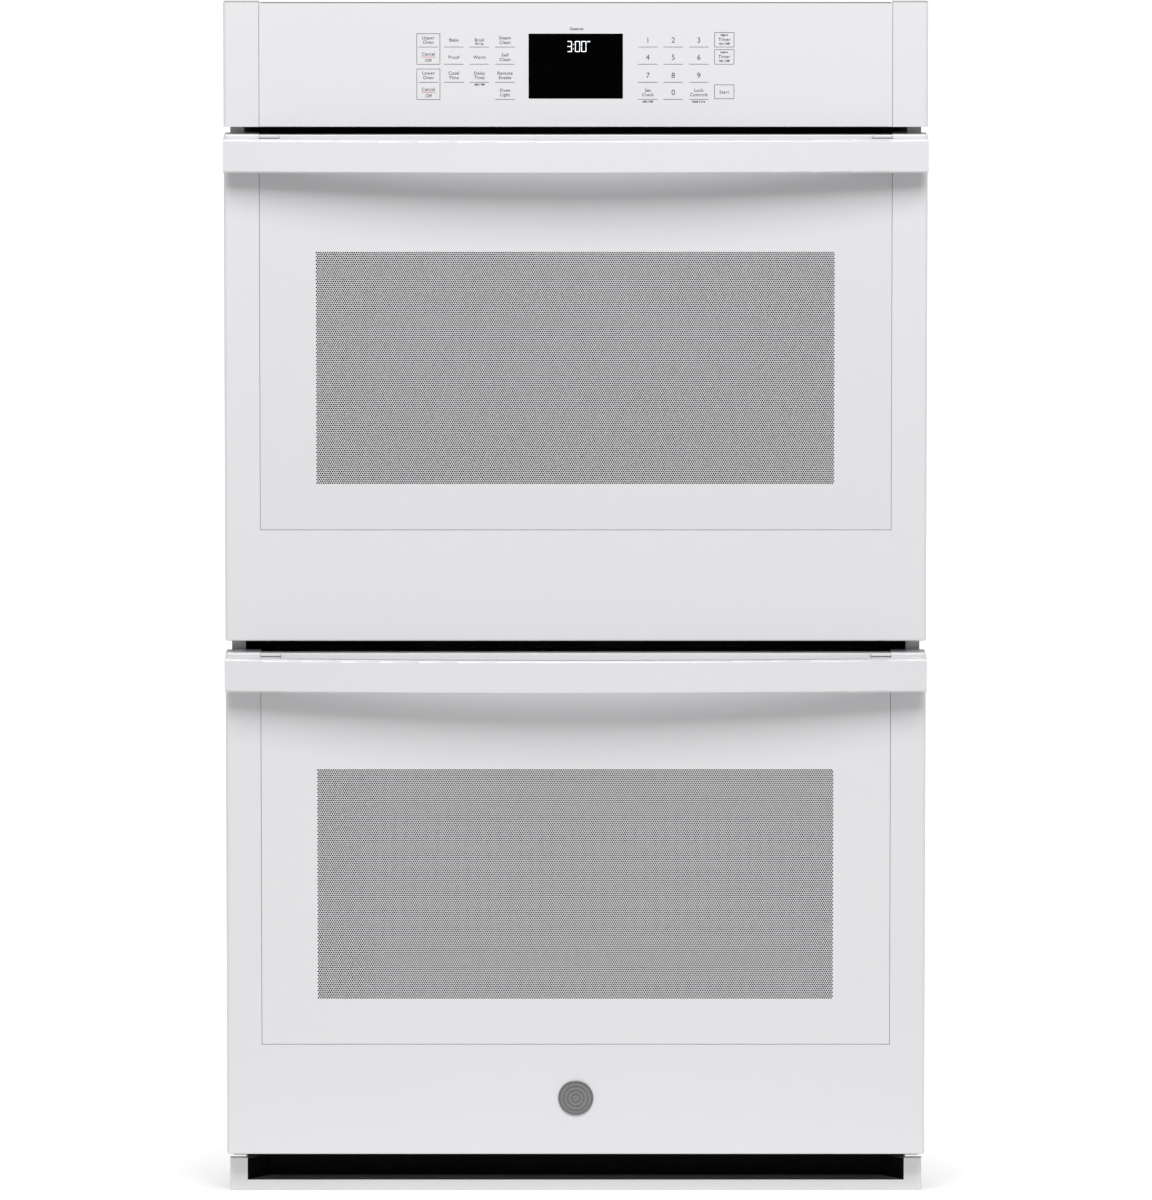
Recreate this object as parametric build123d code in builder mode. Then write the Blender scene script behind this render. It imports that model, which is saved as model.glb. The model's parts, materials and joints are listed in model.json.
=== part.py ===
from build123d import *
import os

os.makedirs("parts", exist_ok=True)

# A built-in double wall oven. +X is to the right, +Y to the back, +Z up, millimetres.
# The origin is the centre of the bounding box's bottom face.

# ---------------------------------------------------------------- driving dimensions
OVERALL_WIDTH = 755.7
OVERALL_DEPTH = 679.5
OVERALL_HEIGHT = 1291.0
BODY_WIDTH = 717.0
BODY_HEIGHT = 1250.0
FLANGE_WIDTH = 744.0
SHEET = 1.5
OVEN_PITCH = 559.4
RISES = {"lower": 0.0, "upper": OVEN_PITCH}

HANDLE_REACH = 50.0
HANDLE_BOW = 22.0
HANDLE_HEIGHT = 36.0
HANDLE_DEPTH = 13.0
DOOR_THICKNESS = 38.0
DOOR_TO_FRAME = 6.0
FRAME_THICKNESS = 2.0

DOOR_BOTTOM = 43.7
DOOR_HEIGHT = 546.5
STILE_WIDTH = 38.0
GLASS_BOTTOM = 120.0
GLASS_THICKNESS = 4.0
SEAM = 0.35

PIVOT_INSET = 14.0
PIVOT_HEIGHT = 17.0
HINGE_X = 300.0
PIN_RADIUS = 4.0
RUNNING_FIT = 0.05

CAVITY_WIDTH = 600.0
CAVITY_BOTTOM = 120.0
CAVITY_HEIGHT = 436.0
CAVITY_BACK = 250.0
CAVITY_CORNER = 20.0
INSULATION = 30.0

WINDOW_BOTTOM = 170.1
WINDOW_HEIGHT = 251.5

PANEL_BOTTOM = 1157.7
PANEL_TOP = 1290.0
DISPLAY_WIDTH = 101.2
DISPLAY_HEIGHT = 69.8
DISPLAY_CENTRE = 1222.7

# ---------------------------------------------------------------- derived places
HALF_WIDTH = OVERALL_WIDTH / 2
HALF_BODY = BODY_WIDTH / 2
INNER_HALF = HALF_BODY - SHEET
DOOR_FRONT = HANDLE_REACH - OVERALL_DEPTH / 2
DOOR_BACK = DOOR_FRONT + DOOR_THICKNESS
FRAME_FRONT = DOOR_BACK + DOOR_TO_FRAME
FACE = FRAME_FRONT + FRAME_THICKNESS
SCREW_HEAD = 2.0
BODY_BACK = OVERALL_DEPTH / 2 - SCREW_HEAD
REAR_INNER = BODY_BACK - SHEET
PIVOT_Y = DOOR_FRONT + PIVOT_INSET
PIVOT_Z = DOOR_BOTTOM + PIVOT_HEIGHT
GLASS_HALF = HALF_WIDTH - STILE_WIDTH
CAVITY_TOP = CAVITY_BOTTOM + CAVITY_HEIGHT
DOOR_TOP = DOOR_BOTTOM + DOOR_HEIGHT


def front_plane(y):
    """A plane facing the viewer at depth y: local x is +X, local y is +Z, and extrusion comes forward."""
    return Plane.XZ.offset(-y)


def level(z):
    """A horizontal plane at height z."""
    return Plane.XY.offset(z)


def area(x0, x1, y0, y1, mode=Mode.ADD):
    """A rectangle between two corners of the sketch that is being drawn."""
    with Locations(((x0 + x1) / 2, (y0 + y1) / 2)):
        Rectangle(x1 - x0, y1 - y0, mode=mode)


def slab(x0, x1, y0, y1, z0, z1, mode=Mode.ADD):
    """A block between two corners of the part that is being built."""
    with Locations(((x0 + x1) / 2, (y0 + y1) / 2, (z0 + z1) / 2)):
        Box(x1 - x0, y1 - y0, z1 - z0, mode=mode)


def rod_along_y(x, z, radius, y0, y1, mode=Mode.ADD):
    """A round bar or hole from y0 back to y1."""
    with BuildSketch(front_plane(y1)) as disc:
        with Locations((x, z)):
            Circle(radius)
    extrude(disc.sketch, amount=y1 - y0, mode=mode)


def upright(x, y, radius, z0, z1, mode=Mode.ADD):
    """A round bar or hole from z0 up to z1."""
    with BuildSketch(level(z0)) as disc:
        with Locations((x, y)):
            Circle(radius)
    extrude(disc.sketch, amount=z1 - z0, mode=mode)


def bar_across(x0, x1, y, z, radius, mode=Mode.ADD):
    """A round bar or hole along X."""
    with BuildSketch(Plane.YZ.offset(x0)) as disc:
        with Locations((y, z)):
            Circle(radius)
    extrude(disc.sketch, amount=x1 - x0, mode=mode)


def pair(shapes):
    """Alike pieces in one node, each a solid of its own."""
    return Compound(children=list(shapes))


def save(name, shape):
    """Labels a finished piece and writes it to its own file."""
    shape.label = name
    export_step(shape, f"parts/{name}.step")


# ---------------------------------------------------------------- chassis
MOUNT_X = 367.0
MOUNT_HEIGHTS = (150.0, 1050.0)
MOUNT_HOLE = 2.4
REAR_FLANGE = 14.0
FLANGE_BOTTOM = 36.0
SCREW_HOLE = 2.1
SCREW_RADIUS = 2.0
SCREW_HEAD_RADIUS = 4.2
SCREW_LENGTH = 8.0
SCREW_X = HALF_BODY - 8.0
SCREW_HEIGHTS = (60.0, 345.0, 630.0, 915.0, 1200.0)


def chassis_side():
    """The right side: a C-section sheet with a front mounting flange and a rear screw flange."""
    with BuildPart() as side:
        slab(INNER_HALF, HALF_BODY, FACE, REAR_INNER, 0, BODY_HEIGHT)
        slab(INNER_HALF, FLANGE_WIDTH / 2, FRAME_FRONT, FACE, FLANGE_BOTTOM, BODY_HEIGHT)
        slab(HALF_BODY - REAR_FLANGE, INNER_HALF, REAR_INNER - SHEET, REAR_INNER, SHEET, BODY_HEIGHT - SHEET)
        for height in MOUNT_HEIGHTS:
            rod_along_y(MOUNT_X, height, MOUNT_HOLE, FRAME_FRONT, FACE, Mode.SUBTRACT)
        for height in SCREW_HEIGHTS:
            rod_along_y(SCREW_X, height, SCREW_HOLE, REAR_INNER - SHEET, REAR_INNER, Mode.SUBTRACT)
    return side.part


right_side = chassis_side()
save("chassis_right_side", right_side)
save("chassis_left_side", mirror(right_side, about=Plane.YZ))

LOUVRE_LENGTH = 70.0
LOUVRE_WIDTH = 6.0
with BuildPart() as rear_panel:
    slab(-HALF_BODY, HALF_BODY, REAR_INNER, BODY_BACK, 0, BODY_HEIGHT)
    with BuildSketch(front_plane(BODY_BACK)):
        for bank_height in (620.0, 1185.0):
            with Locations((0, bank_height)):
                with GridLocations(100, 18, 4, 4):
                    SlotOverall(LOUVRE_LENGTH, LOUVRE_WIDTH)
    extrude(amount=SHEET, mode=Mode.SUBTRACT)
    for side in (-1, 1):
        for height in SCREW_HEIGHTS:
            rod_along_y(side * SCREW_X, height, SCREW_HOLE, REAR_INNER, BODY_BACK, Mode.SUBTRACT)
save("chassis_rear_panel", rear_panel.part)

CONDUIT_X, CONDUIT_Y = 250.0, -60.0
CONDUIT_HOLE = 14.0
with BuildPart() as top_panel:
    slab(-INNER_HALF, INNER_HALF, FACE, REAR_INNER - SHEET, BODY_HEIGHT - SHEET, BODY_HEIGHT)
    with BuildSketch(level(BODY_HEIGHT - SHEET)):
        with Locations((CONDUIT_X, CONDUIT_Y)):
            Circle(CONDUIT_HOLE)
        with GridLocations(110, 22, 4, 5):
            SlotOverall(LOUVRE_LENGTH, LOUVRE_WIDTH)
    extrude(amount=SHEET, mode=Mode.SUBTRACT)
save("chassis_top_panel", top_panel.part)

BASE_FRONT = -222.0
RUNNER_X = 260.0
RUNNER_HALF, RUNNER_HEIGHT, RUNNER_INSET = 10.0, 8.0, 20.0
with BuildPart() as base_pan:
    slab(-INNER_HALF, INNER_HALF, BASE_FRONT, REAR_INNER - SHEET, 0, SHEET)
    for side in (-1, 1):
        rib = side * RUNNER_X
        slab(rib - RUNNER_HALF, rib + RUNNER_HALF, BASE_FRONT + RUNNER_INSET, REAR_INNER - RUNNER_INSET,
             SHEET, SHEET + RUNNER_HEIGHT)
    with BuildSketch(level(0)):
        with GridLocations(110, 40, 4, 6):
            SlotOverall(LOUVRE_LENGTH, LOUVRE_WIDTH)
    extrude(amount=SHEET, mode=Mode.SUBTRACT)
save("chassis_base_pan", base_pan.part)

with BuildPart() as screws:
    for side in (-1, 1):
        for height in SCREW_HEIGHTS:
            rod_along_y(side * SCREW_X, height, SCREW_RADIUS, BODY_BACK - SCREW_LENGTH, BODY_BACK)
            rod_along_y(side * SCREW_X, height, SCREW_HEAD_RADIUS, BODY_BACK, BODY_BACK + SCREW_HEAD)
save("chassis_screws", screws.part)

# ---------------------------------------------------------------- front frames
FRAME_BOTTOM = 45.0
FRAME_TOP = 588.0
ARM_SLOT_HALF = 5.0
ARM_SLOT_HEIGHT = 9.0
LATCH_Z = 577.0
LATCH_SLOT = (-5.0, 42.0)
LATCH_SLOT_HALF = 4.0
PLUNGER_X = 343.0
PLUNGER_Z = 543.7
PLUNGER_RADIUS = 3.0


def latch_slot(rise):
    """Cuts the slot that the lock hook swings through out of the sketch that is being drawn."""
    area(*LATCH_SLOT, rise + LATCH_Z - LATCH_SLOT_HALF, rise + LATCH_Z + LATCH_SLOT_HALF, Mode.SUBTRACT)


with BuildPart() as front_frames:
    for rise in RISES.values():
        with BuildSketch(front_plane(FACE)):
            area(-INNER_HALF, INNER_HALF, rise + FRAME_BOTTOM, rise + FRAME_TOP)
            with Locations((0, rise + CAVITY_BOTTOM + CAVITY_HEIGHT / 2)):
                RectangleRounded(CAVITY_WIDTH, CAVITY_HEIGHT, CAVITY_CORNER, mode=Mode.SUBTRACT)
            for side in (-1, 1):
                with Locations((side * HINGE_X, rise + PIVOT_Z)):
                    Rectangle(2 * ARM_SLOT_HALF, 2 * ARM_SLOT_HEIGHT, mode=Mode.SUBTRACT)
            latch_slot(rise)
            with Locations((PLUNGER_X, rise + PLUNGER_Z)):
                Circle(PLUNGER_RADIUS + 0.4, mode=Mode.SUBTRACT)
        extrude(amount=FRAME_THICKNESS)
save("front_frames", front_frames.part)

# ---------------------------------------------------------------- oven liners, insulation, gaskets
RIB_DEPTH = 12.0
RIB_THICKNESS = 5.0
RIB_PITCH = 55.0
RIB_COUNT = 6
RIB_FIRST = 60.0
RIB_FRONT, RIB_BACK = -228.0, 236.0
ELEMENT_RADIUS = 3.4
ELEMENT_LEG_X = 40.0
BAKE_Z = CAVITY_BOTTOM + 22.0
BROIL_Z = CAVITY_TOP - 22.0
LAMP_X, LAMP_Z = 215.0, CAVITY_TOP - 75.0
LAMP_HOLE = 26.0
PROBE_X, PROBE_Z = -215.0, CAVITY_TOP - 60.0


def cavity_profile(rise, extra):
    """The rounded rectangle of the oven space, grown on every side."""
    with Locations((0, rise + CAVITY_BOTTOM + CAVITY_HEIGHT / 2)):
        RectangleRounded(CAVITY_WIDTH + 2 * extra, CAVITY_HEIGHT + 2 * extra, CAVITY_CORNER + extra)


def cavity_cut(rise, extra, y0, y1):
    """Removes the oven space, grown on every side, from y0 back to y1."""
    with BuildSketch(front_plane(y1)) as opening:
        cavity_profile(rise, extra)
    extrude(opening.sketch, amount=y1 - y0, mode=Mode.SUBTRACT)


def oven_liner(rise):
    """The enamelled oven box, open at the front, with rack ribs on both side walls."""
    with BuildPart() as liner:
        with BuildSketch(front_plane(CAVITY_BACK + SHEET)):
            cavity_profile(rise, SHEET)
        extrude(amount=CAVITY_BACK + SHEET - FACE)
        cavity_cut(rise, 0, FACE, CAVITY_BACK)
        for side in (-1, 1):
            for step in range(RIB_COUNT):
                z = rise + CAVITY_BOTTOM + RIB_FIRST + step * RIB_PITCH
                wall = side * CAVITY_WIDTH / 2
                tip = wall - side * RIB_DEPTH
                with BuildSketch(front_plane(RIB_BACK)):
                    with BuildLine():
                        Polyline(
                            (wall, z - RIB_THICKNESS), (tip, z - 2), (tip, z), (wall, z), close=True
                        )
                    make_face()
                extrude(amount=RIB_BACK - RIB_FRONT)
        for leg_z in (BAKE_Z, BROIL_Z):
            for side in (-1, 1):
                hole = ELEMENT_RADIUS + 0.4
                rod_along_y(side * ELEMENT_LEG_X, rise + leg_z, hole,
                            CAVITY_BACK, CAVITY_BACK + SHEET, Mode.SUBTRACT)
        rod_along_y(LAMP_X, rise + LAMP_Z, LAMP_HOLE, CAVITY_BACK, CAVITY_BACK + SHEET, Mode.SUBTRACT)
    return liner.part


for name, rise in RISES.items():
    save(f"{name}_oven_liner", oven_liner(rise))

LATCH_POCKET = (-46.0, 76.0, -160.0)
with BuildPart() as insulation:
    for rise in RISES.values():
        with BuildSketch(front_plane(CAVITY_BACK + SHEET + INSULATION)):
            cavity_profile(rise, SHEET + INSULATION)
        extrude(amount=CAVITY_BACK + SHEET + INSULATION - FACE)
    for rise in RISES.values():
        cavity_cut(rise, SHEET, FACE, CAVITY_BACK + SHEET)
        slab(LATCH_POCKET[0], LATCH_POCKET[1], FACE, LATCH_POCKET[2],
             rise + CAVITY_TOP + 8, rise + FRAME_TOP, Mode.SUBTRACT)
        rod_along_y(LAMP_X, rise + LAMP_Z, LAMP_HOLE + 6, CAVITY_BACK, CAVITY_BACK + 40, Mode.SUBTRACT)
        for leg_z in (BAKE_Z, BROIL_Z):
            for side in (-1, 1):
                rod_along_y(side * ELEMENT_LEG_X, rise + leg_z, 8, CAVITY_BACK, CAVITY_BACK + 40, Mode.SUBTRACT)
save("oven_insulation", insulation.part)

GASKET_INNER = 4.0
GASKET_WIDTH = 10.0
GASKET_GAP = 0.3
with BuildPart() as gaskets:
    for rise in RISES.values():
        with BuildSketch(front_plane(FRAME_FRONT)):
            cavity_profile(rise, GASKET_INNER + GASKET_WIDTH)
        extrude(amount=DOOR_TO_FRAME - GASKET_GAP)
    for rise in RISES.values():
        cavity_cut(rise, GASKET_INNER, DOOR_BACK, FRAME_FRONT)
save("door_gaskets", gaskets.part)

# ---------------------------------------------------------------- heating elements
TUBE_START = CAVITY_BACK + 20.0


def serpentine(passes, half_width, front, back, z, rise):
    """A tube heater: two legs through the rear wall, joined by runs from front to back."""
    pitch = 2 * half_width / (passes - 1)
    turn = pitch / 2 * 0.98
    points = [(-ELEMENT_LEG_X, TUBE_START), (-ELEMENT_LEG_X, back + 18), (-half_width, back + 18)]
    for run in range(passes):
        x = -half_width + run * pitch
        ends = (back, front) if run % 2 == 0 else (front, back)
        if run > 0:
            points.append((x, ends[0]))
        if run < passes - 1:
            points.append((x, ends[1]))
    points += [(half_width, back + 18), (ELEMENT_LEG_X, back + 18), (ELEMENT_LEG_X, TUBE_START)]
    radii = [8.0, 8.0] + [turn] * (2 * (passes - 1)) + [8.0, 8.0]
    with BuildPart() as tube:
        with BuildLine(level(rise + z)) as path:
            FilletPolyline(*points, radius=radii)
        with BuildSketch(Plane(origin=path.line @ 0, z_dir=path.line % 0)):
            Circle(ELEMENT_RADIUS)
        sweep()
    return tube.part


save("bake_elements", pair(serpentine(10, 235.0, -190.0, 195.0, BAKE_Z, rise) for rise in RISES.values()))
save("broil_elements", pair(serpentine(8, 230.0, -180.0, 185.0, BROIL_Z, rise) for rise in RISES.values()))

# ---------------------------------------------------------------- probe and lamp
PROBE_TIP = 130.0
PROBE_RADIUS, PROBE_FLANGE, PROBE_FLANGE_DEPTH = 2.5, 12.0, 2.0
with BuildPart() as probes:
    for rise in RISES.values():
        rod_along_y(PROBE_X, rise + PROBE_Z, PROBE_RADIUS, PROBE_TIP, CAVITY_BACK)
        rod_along_y(PROBE_X, rise + PROBE_Z, PROBE_FLANGE, CAVITY_BACK - PROBE_FLANGE_DEPTH, CAVITY_BACK)
save("temperature_sensors", probes.part)

LENS_RADIUS = 34.0
LENS_DEPTH = 22.0
LENS_RIM, LENS_RIM_DEPTH = 6.0, 5.0
LENS_CORNER = 10.0


def lamp_lens(rise):
    """A glass cover with a flat rim and a rounded dome."""
    rim = CAVITY_BACK - LENS_RIM_DEPTH
    with BuildPart() as lens:
        rod_along_y(LAMP_X, rise + LAMP_Z, LENS_RADIUS, rim, CAVITY_BACK)
        rod_along_y(LAMP_X, rise + LAMP_Z, LENS_RADIUS - LENS_RIM, CAVITY_BACK - LENS_DEPTH, rim)
        fillet(lens.edges().filter_by(GeomType.CIRCLE).sort_by(Axis.Y)[0], LENS_CORNER)
    return lens.part


save("lamp_lenses", pair(lamp_lens(rise) for rise in RISES.values()))

BULB_RADIUS, SOCKET_RADIUS = 14.0, 20.0
BULB_FRONT, SOCKET_FRONT, SOCKET_BACK = CAVITY_BACK + 4, CAVITY_BACK + 16, CAVITY_BACK + 36
with BuildPart() as lamps:
    for rise in RISES.values():
        rod_along_y(LAMP_X, rise + LAMP_Z, BULB_RADIUS, BULB_FRONT, SOCKET_FRONT)
        rod_along_y(LAMP_X, rise + LAMP_Z, SOCKET_RADIUS, SOCKET_FRONT, SOCKET_BACK)
save("oven_lamps", lamps.part)

# ---------------------------------------------------------------- racks
RACK_HALF = 292.0
RACK_FRONT, RACK_BACK = -222.0, 222.0
RACK_WIRE = 3.0
CROSS_WIRE = 1.6
CROSS_COUNT = 21
RACK_LIFT = 0.3
RACK_STEPS = {"low": 1, "high": 4}


def rack(rise, step):
    """A wire shelf: a rounded outer wire, two cross bars and thin wires from front to back."""
    z = rise + CAVITY_BOTTOM + RIB_FIRST + step * RIB_PITCH + RACK_WIRE + RACK_LIFT
    with BuildPart() as shelf:
        with BuildLine(level(z)) as outline:
            FilletPolyline(
                (RACK_HALF, RACK_FRONT), (RACK_HALF, RACK_BACK),
                (-RACK_HALF, RACK_BACK), (-RACK_HALF, RACK_FRONT), close=True, radius=14.0
            )
        with BuildSketch(Plane(origin=outline.line @ 0, z_dir=outline.line % 0)):
            Circle(RACK_WIRE)
        sweep()
        for cross_y in (-75.0, 75.0):
            with BuildSketch(Plane.YZ.offset(-RACK_HALF)):
                with Locations((cross_y, z)):
                    Circle(RACK_WIRE - 0.6)
            extrude(amount=2 * RACK_HALF)
        for number in range(CROSS_COUNT):
            x = (number - (CROSS_COUNT - 1) / 2) * 2 * RACK_HALF / (CROSS_COUNT + 1)
            rod_along_y(x, z + 1.2, CROSS_WIRE, RACK_FRONT, RACK_BACK)
    return shelf.part


for name, rise in RISES.items():
    for place, step in RACK_STEPS.items():
        save(f"{name}_{place}_rack", rack(rise, step))

# ---------------------------------------------------------------- air ducts and blower
DUCT_HALF = 330.0
DUCT_BOTTOM, DUCT_TOP = 589.5, 645.0
DUCT_FRONT, DUCT_BACK = FACE + 0.5, 285.0
with BuildPart() as mid_duct:
    slab(-DUCT_HALF, DUCT_HALF, DUCT_FRONT, DUCT_BACK, DUCT_BOTTOM, DUCT_TOP)
    slab(-DUCT_HALF + SHEET, DUCT_HALF - SHEET, DUCT_FRONT, DUCT_BACK,
         DUCT_BOTTOM + SHEET, DUCT_TOP - SHEET, Mode.SUBTRACT)
BLOWER_Y = 60.0
BLOWER_BOTTOM = 1150.0
BLOWER_HEIGHT = 52.0
BLOWER_RADIUS = 88.0
WHEEL_OUTER, WHEEL_INNER = 72.0, 56.0
WHEEL_LIFT = 5.0
WHEEL_HEIGHT = 40.0
BLADES = 24
SHAFT_RADIUS = 4.0

OUTLET_RIGHT = 30.0
OUTLET_FRONT = FACE + 10

with BuildPart() as blower_housing:
    for inset, mode in ((0, Mode.ADD), (SHEET, Mode.SUBTRACT)):
        floor, ceiling = BLOWER_BOTTOM + inset, BLOWER_BOTTOM + BLOWER_HEIGHT - inset
        with BuildSketch(level(floor)):
            with Locations((0, BLOWER_Y)):
                Circle(BLOWER_RADIUS - inset)
            area(-BLOWER_RADIUS + inset, OUTLET_RIGHT - inset, OUTLET_FRONT, BLOWER_Y)
        extrude(amount=ceiling - floor, mode=mode)
    upright(0, BLOWER_Y, WHEEL_INNER - 4, BLOWER_BOTTOM + BLOWER_HEIGHT - SHEET,
            BLOWER_BOTTOM + BLOWER_HEIGHT, Mode.SUBTRACT)
save("blower_housing", blower_housing.part)

PLENUM_BOTTOM, PLENUM_TOP = 1148.0, 1204.0
with BuildPart() as outlet_plenum:
    slab(-DUCT_HALF, DUCT_HALF, DUCT_FRONT, OUTLET_FRONT, PLENUM_BOTTOM, PLENUM_TOP)
    slab(-DUCT_HALF + SHEET, DUCT_HALF - SHEET, DUCT_FRONT, OUTLET_FRONT - SHEET,
         PLENUM_BOTTOM + SHEET, PLENUM_TOP - SHEET, Mode.SUBTRACT)
    slab(-BLOWER_RADIUS + SHEET, OUTLET_RIGHT - SHEET, OUTLET_FRONT - SHEET, OUTLET_FRONT,
         BLOWER_BOTTOM + SHEET, BLOWER_BOTTOM + BLOWER_HEIGHT - SHEET, Mode.SUBTRACT)
save("air_ducts", pair([mid_duct.part, outlet_plenum.part]))

MOTOR_BOTTOM = BLOWER_BOTTOM + BLOWER_HEIGHT + 4
MOTOR_RADIUS, MOTOR_HEIGHT = 34.0, 31.0
LEG_X, LEG_HALF, STRAP_HALF, STRAP_THICKNESS = 96.0, 5.0, 8.0, 3.0
SHAFT_DEPTH = 18.0
with BuildPart() as blower_motor:
    slab(-LEG_X - LEG_HALF, LEG_X + LEG_HALF, BLOWER_Y - STRAP_HALF, BLOWER_Y + STRAP_HALF,
         MOTOR_BOTTOM, MOTOR_BOTTOM + STRAP_THICKNESS)
    upright(0, BLOWER_Y, MOTOR_RADIUS, MOTOR_BOTTOM, MOTOR_BOTTOM + MOTOR_HEIGHT)
    for side in (-1, 1):
        slab(side * LEG_X - LEG_HALF, side * LEG_X + LEG_HALF, BLOWER_Y - STRAP_HALF, BLOWER_Y + STRAP_HALF,
             BLOWER_BOTTOM, MOTOR_BOTTOM)
    upright(0, BLOWER_Y, SHAFT_RADIUS + RUNNING_FIT, MOTOR_BOTTOM, MOTOR_BOTTOM + SHAFT_DEPTH + 4, Mode.SUBTRACT)
save("blower_motor", blower_motor.part)

DISC_THICKNESS = 2.0
BLADE_THICKNESS, BLADE_ANGLE = 1.6, 25.0
with BuildPart() as blower_wheel:
    wheel_base = BLOWER_BOTTOM + SHEET + WHEEL_LIFT
    wheel_top = wheel_base + WHEEL_HEIGHT
    upright(0, BLOWER_Y, WHEEL_OUTER, wheel_base, wheel_base + DISC_THICKNESS)
    with BuildSketch(level(wheel_top - DISC_THICKNESS)):
        with Locations((0, BLOWER_Y)):
            Circle(WHEEL_OUTER)
            Circle(WHEEL_INNER, mode=Mode.SUBTRACT)
    extrude(amount=DISC_THICKNESS)
    with BuildSketch(level(wheel_base + DISC_THICKNESS)):
        with Locations((0, BLOWER_Y)):
            with PolarLocations((WHEEL_OUTER + WHEEL_INNER) / 2, BLADES):
                Rectangle(WHEEL_OUTER - WHEEL_INNER - 1, BLADE_THICKNESS, rotation=BLADE_ANGLE)
    extrude(amount=WHEEL_HEIGHT - 2 * DISC_THICKNESS)
    upright(0, BLOWER_Y, SHAFT_RADIUS, wheel_base + DISC_THICKNESS, MOTOR_BOTTOM + SHAFT_DEPTH)
save("blower_wheel", blower_wheel.part)

# ---------------------------------------------------------------- electrics
BOX_HALF_WIDTH, BOX_HALF_DEPTH, BOX_HEIGHT, BOX_WALL = 50.0, 40.0, 60.0, 2.0
CONDUIT_BORE = 11.1
CONNECTOR_DROP, CONNECTOR_RISE = 12.0, 18.0
LOCKNUT_RADIUS, LOCKNUT_HEIGHT = 19.0, 8.0
with BuildPart() as junction_box:
    box_top = BODY_HEIGHT - SHEET
    for wall, mode in ((0, Mode.ADD), (BOX_WALL, Mode.SUBTRACT)):
        slab(CONDUIT_X - BOX_HALF_WIDTH + wall, CONDUIT_X + BOX_HALF_WIDTH - wall,
             CONDUIT_Y - BOX_HALF_DEPTH + wall, CONDUIT_Y + BOX_HALF_DEPTH - wall,
             box_top - BOX_HEIGHT + wall, box_top, mode)

with BuildPart() as conduit_connector:
    thread_bottom, thread_top = BODY_HEIGHT - CONNECTOR_DROP, BODY_HEIGHT + CONNECTOR_RISE
    upright(CONDUIT_X, CONDUIT_Y, CONDUIT_HOLE - 0.1, thread_bottom, thread_top)
    with BuildSketch(level(BODY_HEIGHT)):
        with Locations((CONDUIT_X, CONDUIT_Y)):
            RegularPolygon(LOCKNUT_RADIUS, 6)
    extrude(amount=LOCKNUT_HEIGHT)
    upright(CONDUIT_X, CONDUIT_Y, CONDUIT_BORE, thread_bottom, thread_top, Mode.SUBTRACT)
save("junction_box", pair([junction_box.part, conduit_connector.part]))

# ---------------------------------------------------------------- control panel
PANEL_THICKNESS = 4.0
POCKET = 1.0
with BuildPart() as panel_face:
    with BuildSketch(front_plane(DOOR_FRONT + PANEL_THICKNESS)):
        area(-GLASS_HALF + SEAM, GLASS_HALF - SEAM, PANEL_BOTTOM, PANEL_TOP)
    extrude(amount=PANEL_THICKNESS)
    chamfer(panel_face.faces().sort_by(Axis.Y)[0].edges(), 0.5)
    with BuildSketch(front_plane(DOOR_FRONT + POCKET)):
        with Locations((0, DISPLAY_CENTRE)):
            Rectangle(DISPLAY_WIDTH, DISPLAY_HEIGHT)
    extrude(amount=POCKET + 1, mode=Mode.SUBTRACT)
save("control_panel_face", panel_face.part)

with BuildPart() as display:
    with BuildSketch(front_plane(DOOR_FRONT + POCKET)):
        with Locations((0, DISPLAY_CENTRE)):
            RectangleRounded(DISPLAY_WIDTH - 0.2, DISPLAY_HEIGHT - 0.2, 0.6)
    extrude(amount=POCKET - 0.1)
save("display_window", display.part)


def end_cap():
    """The right end cap: a hollow moulding that is open at the back."""
    wall = 2.5
    x0, x1 = GLASS_HALF, HALF_WIDTH
    with BuildPart() as cap:
        slab(x0, x1, DOOR_FRONT, FRAME_FRONT - SEAM, PANEL_BOTTOM, OVERALL_HEIGHT)
        outer = cap.edges().filter_by(Axis.Z).group_by(Axis.X)[-1].sort_by(Axis.Y)[0]
        fillet(outer, 4.0)
        slab(x0 + wall, x1 - wall, DOOR_FRONT + wall, FRAME_FRONT - SEAM,
             PANEL_BOTTOM + wall, OVERALL_HEIGHT - wall, Mode.SUBTRACT)
    return cap.part


right_cap = end_cap()
save("panel_end_caps", pair([mirror(right_cap, about=Plane.YZ), right_cap]))

with BuildPart() as bracket:
    bracket_front = DOOR_FRONT + PANEL_THICKNESS
    half = GLASS_HALF - 1
    slab(-half, half, bracket_front, FRAME_FRONT, PANEL_BOTTOM + 2, PANEL_TOP - 0.5)
    slab(-half + SHEET, half - SHEET, bracket_front, FRAME_FRONT - SHEET,
         PANEL_BOTTOM + 2 + SHEET, PANEL_TOP - 0.5 - SHEET, Mode.SUBTRACT)
save("control_bracket", bracket.part)

TOUCH_HALF_WIDTH, TOUCH_HALF_HEIGHT = 190.0, 48.0
with BuildPart() as touch_board:
    board_front = bracket_front + 4
    slab(-TOUCH_HALF_WIDTH, TOUCH_HALF_WIDTH, board_front, board_front + 2,
         DISPLAY_CENTRE - TOUCH_HALF_HEIGHT, DISPLAY_CENTRE + TOUCH_HALF_HEIGHT)
    slab(-DISPLAY_WIDTH / 2, DISPLAY_WIDTH / 2, bracket_front, board_front,
         DISPLAY_CENTRE - DISPLAY_HEIGHT / 2, DISPLAY_CENTRE + DISPLAY_HEIGHT / 2)
    plug_top = DISPLAY_CENTRE - 24
    slab(-30, 30, board_front + 2, board_front + 18, plug_top - 16, plug_top)

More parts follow.
